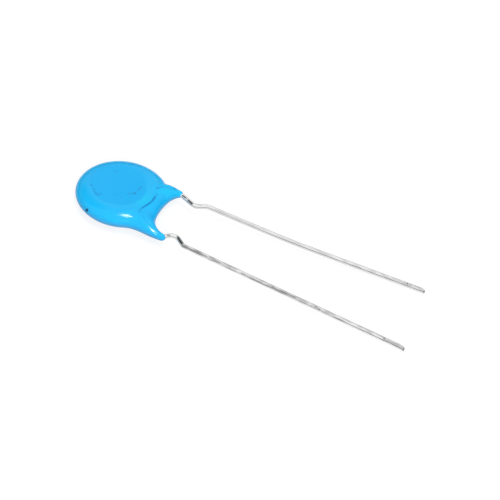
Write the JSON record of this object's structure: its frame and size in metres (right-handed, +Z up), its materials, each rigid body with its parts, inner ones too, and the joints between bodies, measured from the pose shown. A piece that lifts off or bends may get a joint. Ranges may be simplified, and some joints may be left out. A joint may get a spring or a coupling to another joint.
{
  "type": "ceramic disc capacitor",
  "caption": "Small epoxy-dipped ceramic disc capacitor with two kinked radial wire leads for soldering into a circuit board.",
  "frame": {"origin": "on the table, under the centre of the round disc, in the middle of the flat lower face that the part lies on", "axes": "+X points along the leads, away from the disc; +Z is up, square to the disc's flat faces; +Y is the side of the lead that is soldered to the upper electrode"},
  "size_m": [0.0423, 0.0108, 0.0023],
  "materials": {
    "epoxy": "glossy dipped epoxy",
    "ceramic": "matt fired ceramic",
    "silver": "satin fired silver",
    "solder": "bright solder",
    "tinned_wire": "bright hot-dip tin"
  },
  "bodies": {
    "root": {"epoxy_coating": "epoxy", "ceramic_disc": "ceramic", "upper_electrode": "silver", "lower_electrode": "silver", "upper_solder_joint": "solder", "lower_solder_joint": "solder", "upper_lead": "tinned_wire", "lower_lead": "tinned_wire"}
  },
  "joints": []
}
